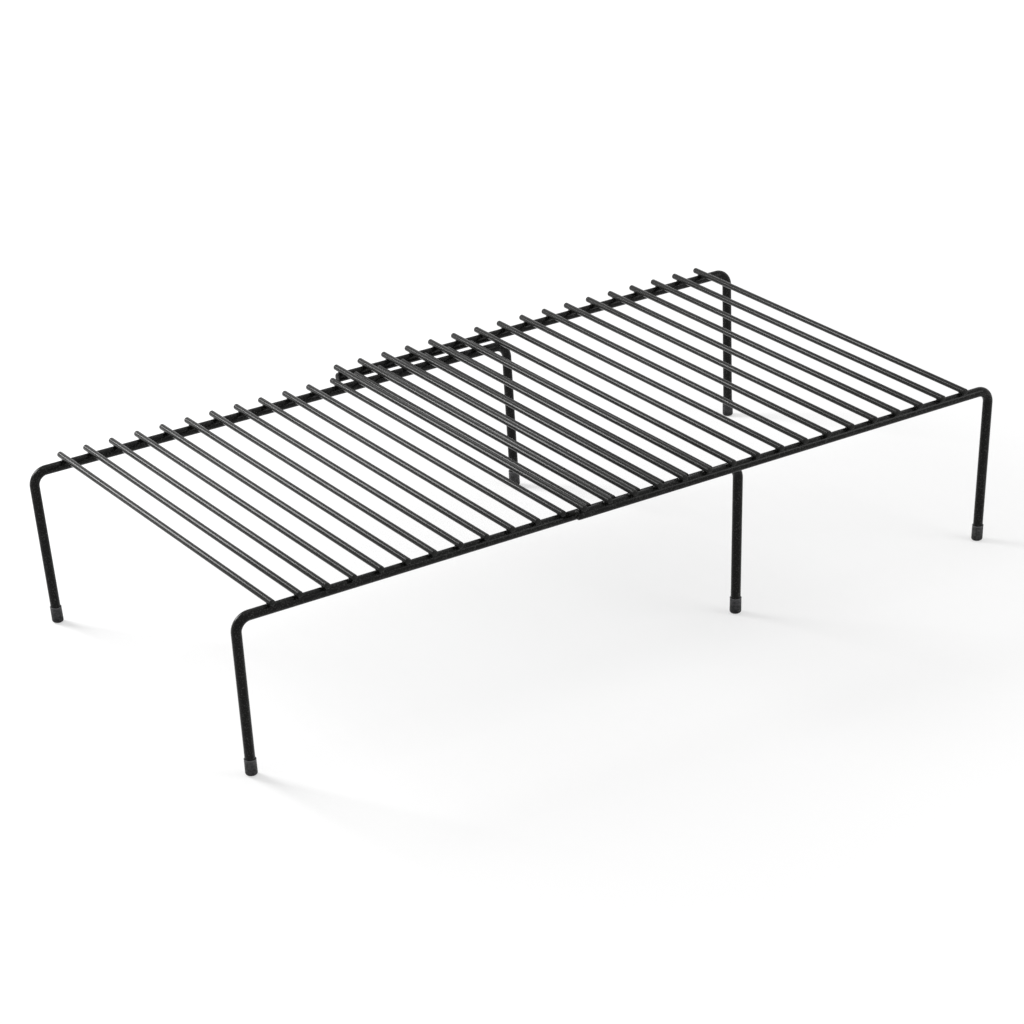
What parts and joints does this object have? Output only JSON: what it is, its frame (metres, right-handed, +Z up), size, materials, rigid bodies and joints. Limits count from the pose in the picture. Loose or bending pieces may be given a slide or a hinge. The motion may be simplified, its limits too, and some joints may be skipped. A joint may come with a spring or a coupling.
{
  "type": "expandable shelf riser",
  "caption": "Expandable wire shelf riser: two welded steel wire sections on capped legs, one sliding along the other to set the length.",
  "frame": {"origin": "middle of the footprint's bounding box, on the surface the caps stand on, with the outer section pulled out as in the picture", "axes": "+X along the length towards the outer section's legs, +Y towards the back, +Z up"},
  "size_m": [0.5056, 0.2662, 0.1046],
  "materials": {
    "inner_rod": "black satin powder coat",
    "inner_wire": "black satin powder coat",
    "outer_rod": "black satin powder coat",
    "outer_wire": "black satin powder coat",
    "foot_cap": "dark grey soft vinyl"
  },
  "bodies": {
    "inner_section": {"inner_rod_front": "inner_rod", "inner_rod_back": "inner_rod", "foot_cap_left_front": "foot_cap", "foot_cap_left_back": "foot_cap", "foot_cap_middle_front": "foot_cap", "foot_cap_middle_back": "foot_cap", "inner_wire_01": "inner_wire", "inner_wire_02": "inner_wire", "inner_wire_03": "inner_wire", "inner_wire_04": "inner_wire", "inner_wire_05": "inner_wire", "inner_wire_06": "inner_wire", "inner_wire_07": "inner_wire", "inner_wire_08": "inner_wire", "inner_wire_09": "inner_wire", "inner_wire_10": "inner_wire", "inner_wire_11": "inner_wire", "inner_wire_12": "inner_wire", "inner_wire_13": "inner_wire", "inner_wire_14": "inner_wire", "inner_wire_15": "inner_wire", "inner_wire_16": "inner_wire", "inner_wire_17": "inner_wire", "inner_wire_18": "inner_wire"},
    "outer_section": {"outer_rod_front": "outer_rod", "outer_rod_back": "outer_rod", "foot_cap_right_front": "foot_cap", "foot_cap_right_back": "foot_cap", "outer_wire_01": "outer_wire", "outer_wire_02": "outer_wire", "outer_wire_03": "outer_wire", "outer_wire_04": "outer_wire", "outer_wire_05": "outer_wire", "outer_wire_06": "outer_wire", "outer_wire_07": "outer_wire", "outer_wire_08": "outer_wire", "outer_wire_09": "outer_wire", "outer_wire_10": "outer_wire", "outer_wire_11": "outer_wire", "outer_wire_12": "outer_wire", "outer_wire_13": "outer_wire", "outer_wire_14": "outer_wire", "outer_wire_15": "outer_wire", "outer_wire_16": "outer_wire", "outer_wire_17": "outer_wire"}
  },
  "joints": [
    {"name": "outer_section_slide", "type": "slide", "parent": "inner_section", "child": "outer_section", "axis": [1, 0, 0], "range_m": [-0.165, 0.0741]}
  ]
}
